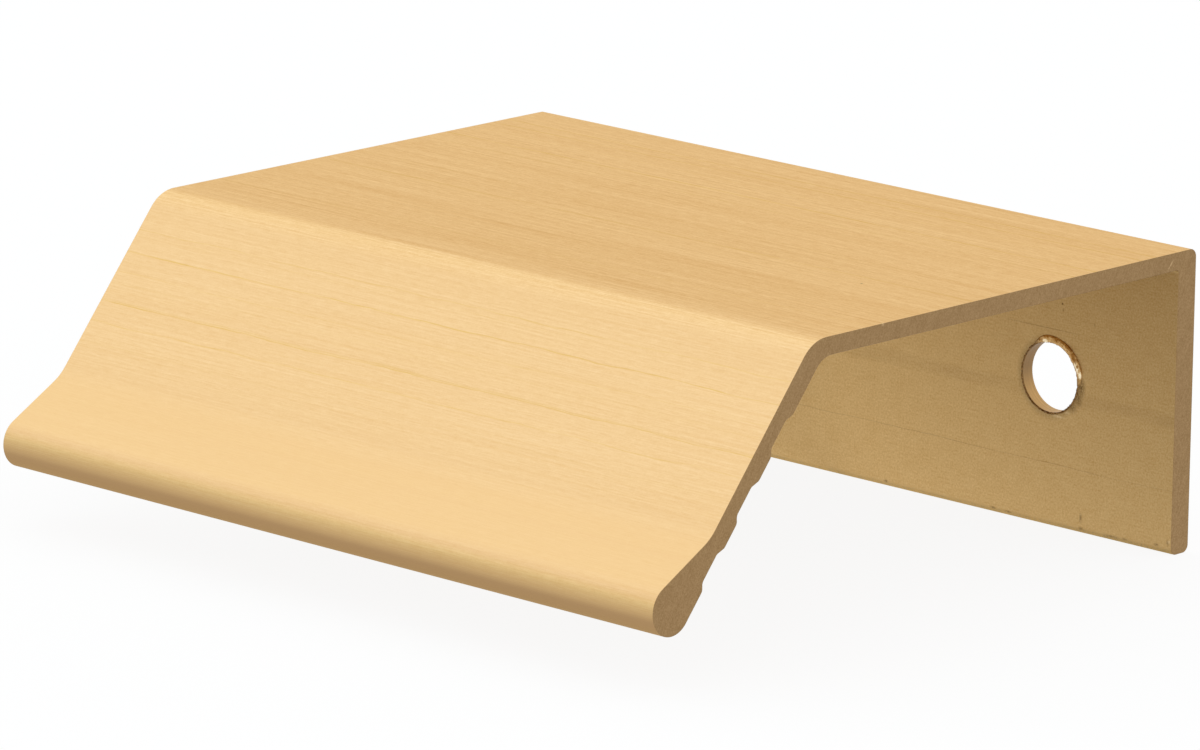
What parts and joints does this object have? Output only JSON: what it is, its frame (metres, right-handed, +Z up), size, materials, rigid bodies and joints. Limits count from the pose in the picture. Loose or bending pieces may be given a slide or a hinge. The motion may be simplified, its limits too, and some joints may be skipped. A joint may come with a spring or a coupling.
{
  "type": "edge pull",
  "caption": "Edge pull cut from an aluminium extrusion: screw flange behind the panel, flat plate over its edge, and a sloping lip with finger grooves and a rounded bead.",
  "frame": {"origin": "midway between the two screw holes, on the face of the flange that is screwed against the back of the panel", "axes": "+X along the length, -Y towards the lip and the user, +Z up from the flange's lower edge to the plate"},
  "size_m": [0.0506, 0.0442, 0.0176],
  "materials": {
    "brushed_gold": "brushed along the length and anodised gold, with the sawn ends left matt"
  },
  "bodies": {
    "root": {"pull": "brushed_gold"}
  },
  "joints": []
}
